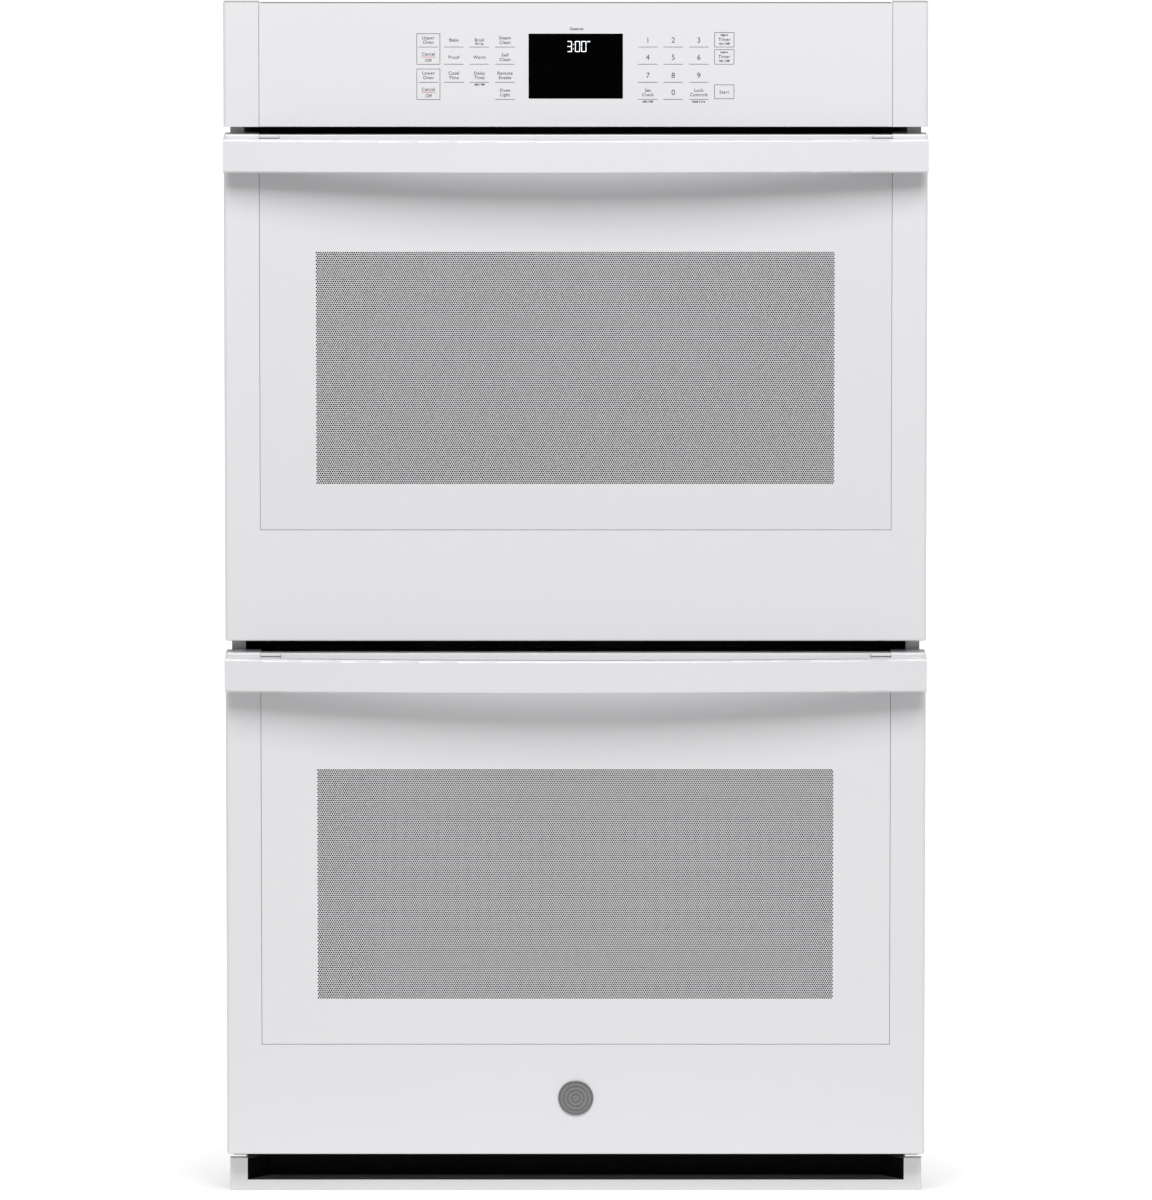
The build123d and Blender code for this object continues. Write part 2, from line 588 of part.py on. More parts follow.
RELAY_LEFT, RELAY_FRONT, RELAY_WIDTH, RELAY_DEPTH = -320.0, -40.0, 150.0, 160.0
RELAY_BASE, RELAY_THICKNESS = 1170.0, 1.6
with BuildPart() as relay_board:
    parts_base = RELAY_BASE + RELAY_THICKNESS
    slab(RELAY_LEFT, RELAY_LEFT + RELAY_WIDTH, RELAY_FRONT, RELAY_FRONT + RELAY_DEPTH, RELAY_BASE, parts_base)
    transformer = (RELAY_LEFT + 35, RELAY_FRONT + 35, parts_base + 18)
    with Locations(transformer):
        Box(50, 50, 36)
    with Locations((RELAY_LEFT + 106, RELAY_FRONT + 56, parts_base + 9)):
        with GridLocations(36, 34, 2, 3):
            Box(26, 20, 18)
    with Locations((RELAY_LEFT + 75, RELAY_FRONT + 126, parts_base + 6)):
        Box(130, 12, 12)
save("control_boards", pair([touch_board.part, relay_board.part]))

# ---------------------------------------------------------------- bottom trim
TRIM_HALF = 375.5
TRIM_SETBACK = 30.0
TRIM_HEIGHT = 34.5
RAIL_HEIGHT = 11.9
TRIM_FRONT = DOOR_FRONT + TRIM_SETBACK
TRIM_BACK = TRIM_FRONT + 29.0
SLOT_FRONT_HALF, SLOT_BACK_HALF = 356.5, 332.0

LEDGE_THICKNESS = 1.0
TRAY_GAP = 0.1
TRAY_SETBACK = 1.0
TRAY_WALL_TOP = 37.0
LIP_HEIGHT, LIP_THICKNESS, LIP_REACH = 28.4, 1.0, 1.2
TAB_CENTRES = (-290.0, -190.0, 190.0, 290.0)
TAB_WIDTH, TAB_HEIGHT, TAB_RISE = 38.0, 9.0, 0.6

with BuildPart() as bottom_trim:
    slab(-TRIM_HALF, TRIM_HALF, TRIM_FRONT, TRIM_BACK, 0, TRIM_HEIGHT)
    slab(-SLOT_FRONT_HALF, SLOT_FRONT_HALF, TRIM_FRONT, TRIM_BACK,
         RAIL_HEIGHT - LEDGE_THICKNESS, TRIM_HEIGHT, Mode.SUBTRACT)
    for x0, x1 in ((-TRIM_HALF, -INNER_HALF), (INNER_HALF, TRIM_HALF)):
        slab(x0, x1, FRAME_FRONT, TRIM_BACK, 0, TRIM_HEIGHT, Mode.SUBTRACT)
    fillet(bottom_trim.edges().filter_by(Axis.Z).group_by(Axis.Y)[0].group_by(Axis.X)[0], 2.0)
    fillet(bottom_trim.edges().filter_by(Axis.Z).group_by(Axis.Y)[0].group_by(Axis.X)[-1], 2.0)
save("bottom_vent_trim", bottom_trim.part)

with BuildPart() as louvre_panel:
    tray_half = SLOT_FRONT_HALF - TRAY_GAP
    slab(-tray_half, tray_half, TRIM_FRONT + TRAY_SETBACK, TRIM_BACK,
         RAIL_HEIGHT - LEDGE_THICKNESS, TRIM_HEIGHT)
    with BuildSketch(level(RAIL_HEIGHT)):
        with BuildLine():
            mouth = tray_half - SHEET
            Polyline(
                (-mouth, TRIM_FRONT), (mouth, TRIM_FRONT), (SLOT_BACK_HALF, TRIM_BACK),
                (-SLOT_BACK_HALF, TRIM_BACK), close=True
            )
        make_face()
    extrude(amount=TRIM_HEIGHT, mode=Mode.SUBTRACT)
    slab(-SLOT_FRONT_HALF, SLOT_FRONT_HALF, TRIM_BACK, TRIM_BACK + SHEET, SHEET + 1, TRAY_WALL_TOP)
    slab(-SLOT_BACK_HALF, SLOT_BACK_HALF, TRIM_BACK - LIP_REACH, TRIM_BACK,
         LIP_HEIGHT, LIP_HEIGHT + LIP_THICKNESS)
    with BuildSketch(front_plane(TRIM_BACK)):
        for x in TAB_CENTRES:
            with Locations((x, LIP_HEIGHT - TAB_HEIGHT / 2)):
                Trapezoid(TAB_WIDTH, TAB_HEIGHT, 60)
    extrude(amount=TAB_RISE)
save("bottom_louvre_panel", louvre_panel.part)

# ---------------------------------------------------------------- hinges
ARM_HALF = 3.0
ARM_HEIGHT = 6.0
ARM_BACK = -185.0
RECEIVER_HALF = 10.0
RECEIVER_HEIGHT = 12.0
CHEEK_INNER, CHEEK_OUTER = 6.0, 8.0

hinge_sites = [(side * HINGE_X, rise) for rise in RISES.values() for side in (-1, 1)]


with BuildPart() as arms:
    for x, rise in hinge_sites:
        with BuildSketch(Plane.YZ.offset(x - ARM_HALF)):
            area(PIVOT_Y, ARM_BACK, rise + PIVOT_Z - ARM_HEIGHT, rise + PIVOT_Z + ARM_HEIGHT)
            with Locations((PIVOT_Y, rise + PIVOT_Z)):
                Circle(ARM_HEIGHT)
                Circle(PIN_RADIUS, mode=Mode.SUBTRACT)
        extrude(amount=2 * ARM_HALF)
save("hinge_arms", arms.part)

with BuildPart() as pins:
    for x, rise in hinge_sites:
        bar_across(x - CHEEK_OUTER - 1, x + CHEEK_OUTER + 1, PIVOT_Y, rise + PIVOT_Z, PIN_RADIUS)
save("hinge_pins", pins.part)

with BuildPart() as receivers:
    for x, rise in hinge_sites:
        z = rise + PIVOT_Z
        slab(x - RECEIVER_HALF, x + RECEIVER_HALF, FACE, ARM_BACK + 3,
             z - RECEIVER_HEIGHT, z + RECEIVER_HEIGHT)
    for x, rise in hinge_sites:
        z = rise + PIVOT_Z
        slab(x - ARM_HALF, x + ARM_HALF, FACE, ARM_BACK, z - ARM_HEIGHT, z + ARM_HEIGHT, Mode.SUBTRACT)
save("hinge_receivers", receivers.part)

# ---------------------------------------------------------------- door locks and light switches
LATCH_Y = -215.0
LATCH_REACH = 48.0
LATCH_PIN = 3.0

with BuildPart() as lock_motors:
    for rise in RISES.values():
        floor = rise + CAVITY_TOP + 8.2
        slab(-38, 66, -240, -168, floor, floor + 1.5)
        slab(-36, -14, -236, -178, floor + 1.5, floor + 20)
        with BuildSketch(level(floor + 1.5)):
            with Locations((0, LATCH_Y)):
                Circle(LATCH_PIN)
        extrude(amount=20)
save("lock_motors", lock_motors.part)


def lock_hook(rise):
    """A flat hook on an upright pin: parked along +X, it turns forward until its lip is behind the door's liner."""
    with BuildPart() as hook:
        with BuildSketch(level(rise + LATCH_Z - 1.5)):
            with Locations((0, LATCH_Y)):
                Circle(7)
            area(0, LATCH_REACH, LATCH_Y - 3.5, LATCH_Y + 3.5)
            area(LATCH_REACH - 6, LATCH_REACH, LATCH_Y - 8, LATCH_Y + 3.5)
            with Locations((0, LATCH_Y)):
                Circle(LATCH_PIN + RUNNING_FIT, mode=Mode.SUBTRACT)
        extrude(amount=3)
    return hook.part


with BuildPart() as switches:
    for rise in RISES.values():
        z = rise + PLUNGER_Z
        slab(PLUNGER_X - 9, PLUNGER_X + 9, FACE, FACE + 34, z - 9, z + 9)
    for rise in RISES.values():
        rod_along_y(PLUNGER_X, rise + PLUNGER_Z, PLUNGER_RADIUS + RUNNING_FIT, FACE, FACE + 26, Mode.SUBTRACT)
save("door_switches", switches.part)


def switch_plunger(rise):
    """The pin that the closed door pushes in."""
    with BuildPart() as plunger:
        front = DOOR_BACK + 0.4
        rod_along_y(PLUNGER_X, rise + PLUNGER_Z, PLUNGER_RADIUS, front, FACE + 18)
        fillet(plunger.edges().sort_by(Axis.Y)[0], 1.5)
    return plunger.part


for name, rise in RISES.items():
    save(f"{name}_lock_hook", lock_hook(rise))
    save(f"{name}_switch_plunger", switch_plunger(rise))

# ---------------------------------------------------------------- doors
SKIN_DEPTH = DOOR_THICKNESS - SHEET
RETURN_DEPTH = 22.0
TOP_TRIM_DEPTH = 18.0
TOP_TRIM_HEIGHT = 8.0
NOTCH_X = GLASS_HALF - 21.6
NOTCH_HALF, NOTCH_DEPTH = 0.5, 6.0
GROOVE_DROP = 4.6
PANE_HALF = 235.0
PANE_MARGIN = 12.0
CHANNEL_TOP = 116.0


def outer_panel(rise):
    """The painted skin: stiles and lower band in one pressing, with returns round the glass opening."""
    bottom = rise + DOOR_BOTTOM
    top = bottom + DOOR_HEIGHT
    sill = bottom + GLASS_BOTTOM
    back = DOOR_FRONT + SKIN_DEPTH
    lip = DOOR_FRONT + RETURN_DEPTH
    with BuildPart() as skin:
        slab(-HALF_WIDTH, HALF_WIDTH, DOOR_FRONT, back, bottom, top)
        front_corners = skin.edges().filter_by(Axis.Z).group_by(Axis.Y)[0]
        fillet(front_corners, 4.0)
        fillet(skin.faces().sort_by(Axis.Y)[0].edges().filter_by(Axis.X), 2.0)
        slab(-HALF_WIDTH + SHEET, HALF_WIDTH - SHEET, DOOR_FRONT + SHEET, back,
             bottom + SHEET, top - SHEET, Mode.SUBTRACT)
        slab(-GLASS_HALF, GLASS_HALF, DOOR_FRONT, back, sill, top, Mode.SUBTRACT)
        for side in (-1, 1):
            x0, x1 = sorted((side * GLASS_HALF, side * (GLASS_HALF + SHEET)))
            slab(x0, x1, DOOR_FRONT + SHEET, lip, sill - SHEET, top - SHEET)
            slot = side * HINGE_X
            slab(slot - ARM_SLOT_HALF, slot + ARM_SLOT_HALF, PIVOT_Y - 9, back,
                 bottom, bottom + SHEET, Mode.SUBTRACT)
        slab(-GLASS_HALF, GLASS_HALF, DOOR_FRONT + SHEET, lip, sill - SHEET, sill)
    return skin.part


def glass_panel(rise):
    """The front glass, a seam's width clear of the skin on three sides."""
    bottom = rise + DOOR_BOTTOM + GLASS_BOTTOM + SEAM
    top = rise + DOOR_TOP - TOP_TRIM_HEIGHT - SEAM
    face = DOOR_FRONT + 0.3
    with BuildPart() as glass:
        slab(-GLASS_HALF + SEAM, GLASS_HALF - SEAM, face, face + GLASS_THICKNESS, bottom, top)
        chamfer(glass.faces().sort_by(Axis.Y)[0].edges(), 0.4)
    return glass.part


def top_trim(rise):
    """The cap above the glass, with a narrow notch near each end and a groove from there to the stile."""
    top = rise + DOOR_TOP
    with BuildPart() as trim:
        slab(-GLASS_HALF + SEAM, GLASS_HALF - SEAM, DOOR_FRONT, DOOR_FRONT + TOP_TRIM_DEPTH,
             top - TOP_TRIM_HEIGHT, top - 0.5)
        fillet(trim.faces().sort_by(Axis.Y)[0].edges().sort_by(Axis.Z)[-1], 1.2)
        for side in (-1, 1):
            x = side * NOTCH_X
            slab(x - NOTCH_HALF, x + NOTCH_HALF, DOOR_FRONT, DOOR_FRONT + NOTCH_DEPTH,
                 top - TOP_TRIM_HEIGHT, top, Mode.SUBTRACT)
            x0, x1 = sorted((x, side * GLASS_HALF))
            slab(x0, x1, DOOR_FRONT, DOOR_FRONT + NOTCH_DEPTH, top - GROOVE_DROP,
                 top - GROOVE_DROP + 2 * NOTCH_HALF, Mode.SUBTRACT)
    return trim.part


def window_sketch(rise, half_width, margin, mode=Mode.ADD):
    """A rectangle round the window, grown by a margin above and below."""
    base = rise + DOOR_BOTTOM + WINDOW_BOTTOM
    area(-half_width, half_width, base - margin, base + WINDOW_HEIGHT + margin, mode)


def inner_liner(rise):
    """The enamelled back of the door, with its window and the slots for hinge arms and hook."""
    bottom = rise + DOOR_BOTTOM
    with BuildPart() as liner:
        with BuildSketch(front_plane(DOOR_BACK)):
            area(-HALF_WIDTH + 2, HALF_WIDTH - 2, bottom + 6, bottom + DOOR_HEIGHT - 8)
            window_sketch(rise, PANE_HALF - PANE_MARGIN, 0, Mode.SUBTRACT)
            for side in (-1, 1):
                slot = side * HINGE_X
                area(slot - ARM_SLOT_HALF, slot + ARM_SLOT_HALF, bottom, bottom + PIVOT_HEIGHT + 11, Mode.SUBTRACT)
            latch_slot(rise)
        extrude(amount=SHEET)
    return liner.part


def inner_panes(rise):
    """Two heat-resistant panes behind the window."""
    with BuildPart() as panes:
        for back in (DOOR_BACK - SHEET, DOOR_BACK - SHEET - 13):
            with BuildSketch(front_plane(back)):
                window_sketch(rise, PANE_HALF, PANE_MARGIN)
            extrude(amount=GLASS_THICKNESS)
    return panes.part


def door_insulation(rise):
    """Mineral wool round the window, between the hinge channels."""
    bottom = rise + DOOR_BOTTOM
    with BuildPart() as wool:
        with BuildSketch(front_plane(DOOR_BACK - SHEET)):
            area(-284, 284, bottom + 12, bottom + 528)
            window_sketch(rise, PANE_HALF + 4, PANE_MARGIN + 4, Mode.SUBTRACT)
        extrude(amount=13)
    return wool.part


def hinge_channels(rise):
    """A steel channel on each side that holds the pivot pin between its cheeks."""
    bottom = rise + DOOR_BOTTOM
    with BuildPart() as channels:
        for side in (-1, 1):
            x = side * HINGE_X
            slab(x - CHEEK_OUTER, x + CHEEK_OUTER, DOOR_FRONT + 5, DOOR_BACK - SHEET - 0.5,
                 bottom + SHEET + 1, bottom + CHANNEL_TOP)
        for side in (-1, 1):
            x = side * HINGE_X
            slab(x - CHEEK_INNER, x + CHEEK_INNER, DOOR_FRONT + 7, DOOR_BACK - SHEET - 0.5,
                 bottom + SHEET + 1, bottom + CHANNEL_TOP, Mode.SUBTRACT)
            bar_across(x - CHEEK_OUTER, x + CHEEK_OUTER, PIVOT_Y, rise + PIVOT_Z,
                       PIN_RADIUS + RUNNING_FIT, Mode.SUBTRACT)
    return channels.part


HANDLE_TOP = DOOR_HEIGHT - 3.5
HANDLE_EDGE = 2.5
POST_INSET, POST_MARGIN = 5.0, 2.0


def handle_back(x):
    """The depth of the band's back face at x, along its circular bow."""
    inner = DOOR_FRONT - HANDLE_REACH + HANDLE_DEPTH
    radius = (HALF_WIDTH**2 + HANDLE_BOW**2) / (2 * HANDLE_BOW)
    return inner + radius - (radius**2 - x**2) ** 0.5


def handle(rise):
    """A flat-faced band that bows forward, as wide as the door."""
    base = rise + DOOR_BOTTOM + HANDLE_TOP - HANDLE_HEIGHT
    crest = DOOR_FRONT - HANDLE_REACH
    inner = crest + HANDLE_DEPTH
    with BuildPart() as band:
        with BuildSketch(level(base)):
            with BuildLine():
                ThreePointArc((-HALF_WIDTH, crest + HANDLE_BOW), (0, crest), (HALF_WIDTH, crest + HANDLE_BOW))
                Line((HALF_WIDTH, crest + HANDLE_BOW), (HALF_WIDTH, inner + HANDLE_BOW))
                ThreePointArc((HALF_WIDTH, inner + HANDLE_BOW), (0, inner), (-HALF_WIDTH, inner + HANDLE_BOW))
                Line((-HALF_WIDTH, inner + HANDLE_BOW), (-HALF_WIDTH, crest + HANDLE_BOW))
            make_face()
        extrude(amount=HANDLE_HEIGHT)
        front_edges = band.edges().filter_by(GeomType.CIRCLE).sort_by(Axis.Y)[:2]
        fillet(front_edges, HANDLE_EDGE)
    return band.part


def handle_mounts(rise):
    """The two posts that carry the band's ends."""
    base = rise + DOOR_BOTTOM + HANDLE_TOP - HANDLE_HEIGHT
    near, far = GLASS_HALF + POST_MARGIN, HALF_WIDTH - POST_INSET
    with BuildPart() as mounts:
        for x0, x1 in ((-far, -near), (near, far)):
            with BuildSketch(level(base + 4)):
                with BuildLine():
                    Polyline(
                        (x0, DOOR_FRONT), (x1, DOOR_FRONT), (x1, handle_back(x1)), (x0, handle_back(x0)), close=True
                    )
                make_face()
            extrude(amount=HANDLE_HEIGHT - 8)
    return mounts.part


for name, rise in RISES.items():
    save(f"{name}_door_outer_panel", outer_panel(rise))
    save(f"{name}_door_glass", glass_panel(rise))
    save(f"{name}_door_top_trim", top_trim(rise))
    save(f"{name}_door_inner_liner", inner_liner(rise))
    save(f"{name}_door_inner_panes", inner_panes(rise))
    save(f"{name}_door_insulation", door_insulation(rise))
    save(f"{name}_hinge_channels", hinge_channels(rise))
    save(f"{name}_handle", handle(rise))
    save(f"{name}_handle_mounts", handle_mounts(rise))

BADGE_RADIUS = 19.0
BADGE_HEIGHT = 105.5
with BuildPart() as badge:
    rod_along_y(0, BADGE_HEIGHT, BADGE_RADIUS, DOOR_FRONT - 2, DOOR_FRONT)
    fillet(badge.faces().sort_by(Axis.Y)[0].edges(), 0.6)
    with BuildSketch(front_plane(DOOR_FRONT - 1.4)):
        with Locations((0, BADGE_HEIGHT)):
            Circle(16.5)
            Circle(15.5, mode=Mode.SUBTRACT)
    extrude(amount=1, mode=Mode.SUBTRACT)
save("round_badge", badge.part)
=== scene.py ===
import json
import math

import bmesh
import bpy
from mathutils import Matrix, Vector


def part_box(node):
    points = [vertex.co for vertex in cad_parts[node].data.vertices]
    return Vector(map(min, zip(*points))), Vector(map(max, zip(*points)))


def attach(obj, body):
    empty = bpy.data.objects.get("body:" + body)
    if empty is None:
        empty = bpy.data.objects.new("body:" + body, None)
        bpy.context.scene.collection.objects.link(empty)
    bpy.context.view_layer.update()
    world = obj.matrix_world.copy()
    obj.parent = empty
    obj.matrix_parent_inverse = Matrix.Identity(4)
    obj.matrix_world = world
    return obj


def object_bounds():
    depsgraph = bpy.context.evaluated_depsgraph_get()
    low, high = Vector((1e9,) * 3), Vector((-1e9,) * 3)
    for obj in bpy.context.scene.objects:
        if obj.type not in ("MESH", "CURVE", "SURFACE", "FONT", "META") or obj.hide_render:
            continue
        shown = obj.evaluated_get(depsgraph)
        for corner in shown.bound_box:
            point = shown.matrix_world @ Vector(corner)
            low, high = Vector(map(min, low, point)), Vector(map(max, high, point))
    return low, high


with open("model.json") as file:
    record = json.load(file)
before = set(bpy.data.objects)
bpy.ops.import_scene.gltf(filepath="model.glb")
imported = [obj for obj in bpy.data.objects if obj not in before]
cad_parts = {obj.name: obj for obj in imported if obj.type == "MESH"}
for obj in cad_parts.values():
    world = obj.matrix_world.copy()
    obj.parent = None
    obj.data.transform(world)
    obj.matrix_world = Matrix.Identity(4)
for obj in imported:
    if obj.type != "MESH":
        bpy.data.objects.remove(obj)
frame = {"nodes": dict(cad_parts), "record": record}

cad_low, cad_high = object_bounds()
MM = 0.001
NODES = frame["nodes"]
OVENS = ("lower", "upper")


RING_GAP = 4.4 * MM
RING_SCALE = math.tau / (20 * RING_GAP)     # the ring texture repeats every tau / (20 x scale)
COLOUR_A, COLOUR_B, MIXED = 6, 7, 2         # the colour sockets of a Mix node


# ---------------------------------------------------------------- node helpers
class Material:
    """A node material being built: a principled shader and a few helpers to feed it."""

    def __init__(self, name, colour, roughness, metallic=0.0, coat=0.0):
        self.data = bpy.data.materials.new(name)
        self.data.use_nodes = True
        self.tree = self.data.node_tree
        self.shader = self.tree.nodes["Principled BSDF"]
        self.shader.inputs["Base Color"].default_value = (*colour, 1)
        self.shader.inputs["Roughness"].default_value = roughness
        self.shader.inputs["Metallic"].default_value = metallic
        self.shader.inputs["Coat Weight"].default_value = coat
        coordinates = self.tree.nodes.new("ShaderNodeTexCoord")
        self.place, self.normal = coordinates.outputs["Object"], coordinates.outputs["Normal"]

    def node(self, kind, **settings):
        made = self.tree.nodes.new("ShaderNode" + kind)
        for key, value in settings.items():
            if key in made.inputs:
                made.inputs[key].default_value = value
            else:
                setattr(made, key, value)
        return made

    def link(self, output, target):
        self.tree.links.new(output, target)

    def stretched(self, scale):
        """The object's own coordinates, scaled along each axis."""
        mapping = self.node("Mapping")
        mapping.inputs["Scale"].default_value = scale
        self.link(self.place, mapping.inputs["Vector"])
        return mapping.outputs["Vector"]

    def noise(self, scale, detail=3.0, source=None):
        made = self.node("TexNoise", Scale=scale, Detail=detail)
        self.link(source or self.place, made.inputs["Vector"])
        return made.outputs["Fac"]

    def ramp(self, value, low, high, start, end):
        """Maps a value between two limits to a range of numbers."""
        made = self.node("MapRange")
        for socket, number in zip(("From Min", "From Max", "To Min", "To Max"), (low, high, start, end)):
            made.inputs[socket].default_value = number
        self.link(value, made.inputs["Value"])
        return made.outputs["Result"]

    def colours(self, value, first, second, target="Base Color"):
        """Mixes two colours by a value into the shader."""
        made = self.node("Mix", data_type="RGBA")
        made.inputs[COLOUR_A].default_value = (*first, 1)
        made.inputs[COLOUR_B].default_value = (*second, 1)
        self.link(value, made.inputs[0])
        if target:
            self.link(made.outputs[MIXED], self.shader.inputs[target])
        return made.outputs[MIXED]

    def bump(self, height, strength, distance):
        made = self.node("Bump", Strength=strength, Distance=distance)
        self.link(height, made.inputs["Height"])
        self.link(made.outputs["Normal"], self.shader.inputs["Normal"])

    def roughen(self, value, low, high):
        self.link(self.ramp(value, 0.3, 0.7, low, high), self.shader.inputs["Roughness"])


def shaded(colour, share):
    """A colour made darker or lighter by a share, and never brighter than white."""
    return tuple(min(1, part * share) for part in colour)


def enamel(name, colour):
    """Baked gloss paint: a clear coat over colour with a faint orange-peel surface."""
    made = Material(name, colour, 0.22, coat=0.35)
    made.shader.inputs["Coat Roughness"].default_value = 0.08
    made.colours(made.noise(6.0), colour, shaded(colour, 0.985))
    made.roughen(made.noise(40.0), 0.19, 0.27)
    made.bump(made.noise(900.0, 2.0), 0.12, 0.0002)
    return made


def galvanised():
    """Zinc-coated sheet with its crystal spangle."""
    made = Material("galvanised_steel", (0.55, 0.56, 0.58), 0.38, metallic=1.0)
    cells = made.node("TexVoronoi", Scale=90.0, feature="F1")
    made.link(made.place, cells.inputs["Vector"])
    tint = made.node("SeparateColor")
    made.link(cells.outputs["Color"], tint.inputs["Color"])
    made.colours(tint.outputs["Red"], (0.50, 0.51, 0.53), (0.60, 0.61, 0.63))
    made.link(made.ramp(tint.outputs["Green"], 0, 1, 0.34, 0.46), made.shader.inputs["Roughness"])
    made.bump(made.noise(300.0), 0.08, 0.0003)
    return made


def porcelain():
    """Dark oven enamel with fine pale speckles."""
    made = Material("oven_enamel", (0.035, 0.037, 0.045), 0.25, coat=0.5)
    made.shader.inputs["Coat Roughness"].default_value = 0.1
    dots = made.node("TexVoronoi", Scale=420.0, feature="F1")
    made.link(made.place, dots.inputs["Vector"])
    speck = made.ramp(dots.outputs["Distance"], 0.10, 0.22, 1.0, 0.0)
    made.colours(speck, (0.03, 0.032, 0.042), (0.33, 0.35, 0.38))
    made.bump(made.noise(500.0), 0.1, 0.0003)
    return made


def brushed(name, colour, scale):
    """Metal with a straight grain."""
    made = Material(name, colour, 0.3, metallic=1.0)
    grain = made.noise(1.0, 4.0, made.stretched(scale))
    made.colours(grain, shaded(colour, 0.82), shaded(colour, 1.12))
    made.roughen(grain, 0.22, 0.4)
    made.bump(grain, 0.15, 0.0002)
    return made


def turned_badge():
    """Dull metal with rings stamped about the middle of the badge."""
    made = Material("badge_metal", (0.25, 0.25, 0.26), 0.3, metallic=1.0)
    low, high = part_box("round_badge")
    centred = made.node("Mapping")
    centred.inputs["Location"].default_value = -(low + high) / 2
    made.link(made.place, centred.inputs["Vector"])
    rings = made.node(
        "TexWave", Scale=RING_SCALE, Distortion=0.4, wave_type="RINGS", rings_direction="Y")
    made.link(centred.outputs["Vector"], rings.inputs["Vector"])
    grain = made.noise(1.0, 4.0, made.stretched((60.0, 60.0, 2600.0)))
    stamped = made.ramp(rings.outputs["Fac"], 0.35, 1.0, 0.0, 1.0)
    made.colours(stamped, (0.235, 0.235, 0.24), (0.34, 0.34, 0.35))
    made.roughen(grain, 0.22, 0.4)
    made.bump(rings.outputs["Fac"], 0.3, 0.0004)
    return made


def heater():
    """Oxidised nickel alloy, with slight heat tint."""
    made = Material("heater_sheath", (0.09, 0.085, 0.085), 0.55, metallic=0.8)
    made.colours(made.noise(30.0), (0.05, 0.05, 0.055), (0.16, 0.13, 0.12))
    made.bump(made.noise(700.0), 0.2, 0.0003)
    return made


def plated_wire():
    """Bright nickel-chrome plate on the racks' wire."""
    made = Material("plated_wire", (0.72, 0.72, 0.74), 0.16, metallic=1.0)
    made.roughen(made.noise(120.0), 0.1, 0.26)
    made.colours(made.noise(15.0), (0.66, 0.66, 0.68), (0.78, 0.78, 0.80))
    return made


def braid():
    """Woven glass-fibre cord of the door seal."""
    made = Material("gasket_braid", (0.2, 0.2, 0.19), 0.85)
    weave = made.node("TexWave", Scale=260.0, Distortion=1.2, bands_direction="DIAGONAL")
    made.link(made.place, weave.inputs["Vector"])
    made.colours(weave.outputs["Fac"], (0.1, 0.1, 0.1), (0.34, 0.33, 0.31))
    made.bump(weave.outputs["Fac"], 0.6, 0.0008)
    return made


def wool():
    """Matted yellow mineral wool."""
    made = Material("mineral_wool", (0.72, 0.66, 0.45), 0.95)
    made.colours(made.noise(60.0, 8.0), (0.55, 0.48, 0.3), (0.83, 0.78, 0.6))
    made.bump(made.noise(240.0, 8.0), 0.8, 0.002)
    return made


def board():
    """Green solder mask with paler blocks of copper under it."""
    made = Material("circuit_board", (0.03, 0.2, 0.09), 0.35)
    traces = made.node("TexBrick", Scale=60.0)
    made.link(made.place, traces.inputs["Vector"])
    made.colours(traces.outputs["Fac"], (0.02, 0.16, 0.07), (0.04, 0.27, 0.13))
    made.roughen(made.noise(200.0), 0.3, 0.5)
    return made


def plain(name, colour, roughness):
    """Moulded or cast material: a mottled colour and a fine surface grain."""
    made = Material(name, colour, roughness)
    made.colours(made.noise(25.0), shaded(colour, 0.9), shaded(colour, 1.08))
    made.roughen(made.noise(400.0), roughness - 0.05, roughness + 0.08)
    made.bump(made.noise(400.0), 0.15, 0.0003)
    return made


def clear_glass():
    """Slightly green heat-resistant glass."""
    made = Material("clear_glass", (0.9, 0.95, 0.94), 0.03)
    made.shader.inputs["Transmission Weight"].default_value = 1.0
    made.shader.inputs["IOR"].default_value = 1.5
    made.roughen(made.noise(8.0), 0.02, 0.05)
    return made


def gloss_glass(name, colour):
    """Smooth back-printed glass: colour under a clear polished face."""
    made = Material(name, colour, 0.12, coat=1.0)
    made.shader.inputs["Coat Roughness"].default_value = 0.02
    made.colours(made.noise(5.0), colour, shaded(colour, 0.985))
    made.bump(made.noise(14.0), 0.02, 0.0004)
    return made


def dark_glass(name):
    """Deep black back-print under glass that gives back little of the room."""
    made = Material(name, (0.001, 0.001, 0.001), 0.25)
    made.shader.inputs["Specular IOR Level"].default_value = 0.008
    made.colours(made.noise(9.0), (0.0004, 0.0004, 0.0005), (0.0009, 0.0009, 0.001))
    made.roughen(made.noise(60.0), 0.2, 0.3)
    return made


def matt_black_paint(name, colour):
    """Matt black paint that swallows light, with painted top light: faces turned upwards are coloured a
    lighter grey, as if lit from above.
    """
    made = Material(name, colour, 0.5)
    made.shader.inputs["Specular IOR Level"].default_value = 0.03
    paint = made.colours(made.noise(30.0), shaded(colour, 0.7), shaded(colour, 1.3), None)
    # painted top light: faces turned upwards are mixed towards grey 0.12, as if lit from above
    axes = made.node("SeparateXYZ")
    made.link(made.normal, axes.inputs["Vector"])
    painted_top_light = made.node("Mix", data_type="RGBA")
    painted_top_light.inputs[COLOUR_B].default_value = (0.12, 0.12, 0.12, 1)
    made.link(made.ramp(axes.outputs["Z"], 0.6, 1.0, 0.0, 1.0), painted_top_light.inputs[0])
    made.link(paint, painted_top_light.inputs[COLOUR_A])
    made.link(painted_top_light.outputs[MIXED], made.shader.inputs["Base Color"])
    made.roughen(made.noise(400.0), 0.42, 0.6)
    made.bump(made.noise(600.0), 0.15, 0.0003)
    return made


